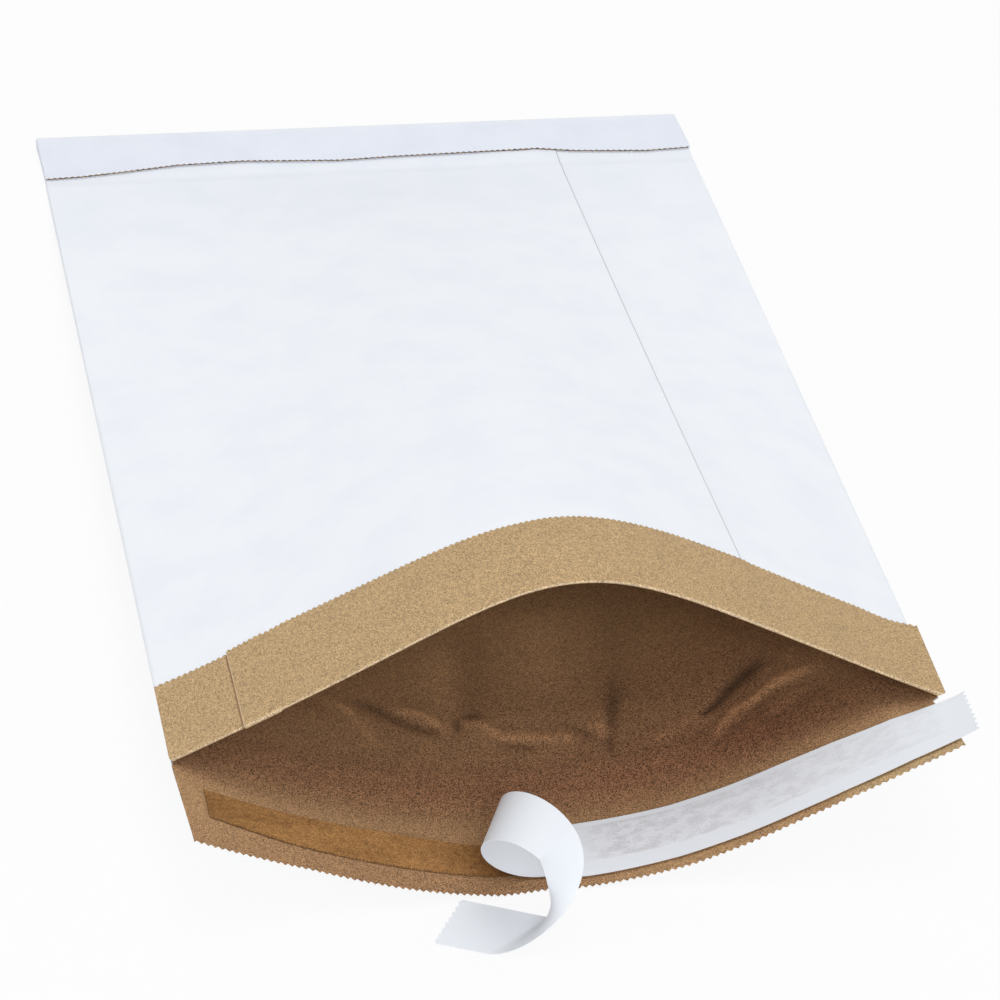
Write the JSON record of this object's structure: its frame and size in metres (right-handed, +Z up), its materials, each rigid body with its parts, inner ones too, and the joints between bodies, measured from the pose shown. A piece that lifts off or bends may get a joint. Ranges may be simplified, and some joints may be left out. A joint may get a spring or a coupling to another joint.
{
  "type": "padded envelope",
  "caption": "White self-seal padded mailing envelope lying open on its back, with a brown kraft lining folded out as a cuff, an adhesive lip and a curled, half-peeled release liner",
  "frame": {"origin": "on the flat underside, on the centre line, halfway between the far fold and the mouth line", "axes": "+Y from the mouth to the folded far end, +X to the right seen from the mouth, +Z up through the front panel"},
  "size_m": [0.2676, 0.4722, 0.0914],
  "materials": {
    "white_paper": "matt white kraft paper",
    "brown_kraft": "matt unbleached kraft paper",
    "grey_fibre": "loose macerated paper fibre",
    "hot_melt": "amber hot-melt adhesive, slightly shiny",
    "liner_paper": "smooth siliconised white paper"
  },
  "bodies": {
    "root": {"outer_bag": "white_paper", "inner_bag": "brown_kraft", "padding": "grey_fibre", "adhesive_strip": "hot_melt", "release_liner": "liner_paper"}
  },
  "joints": []
}
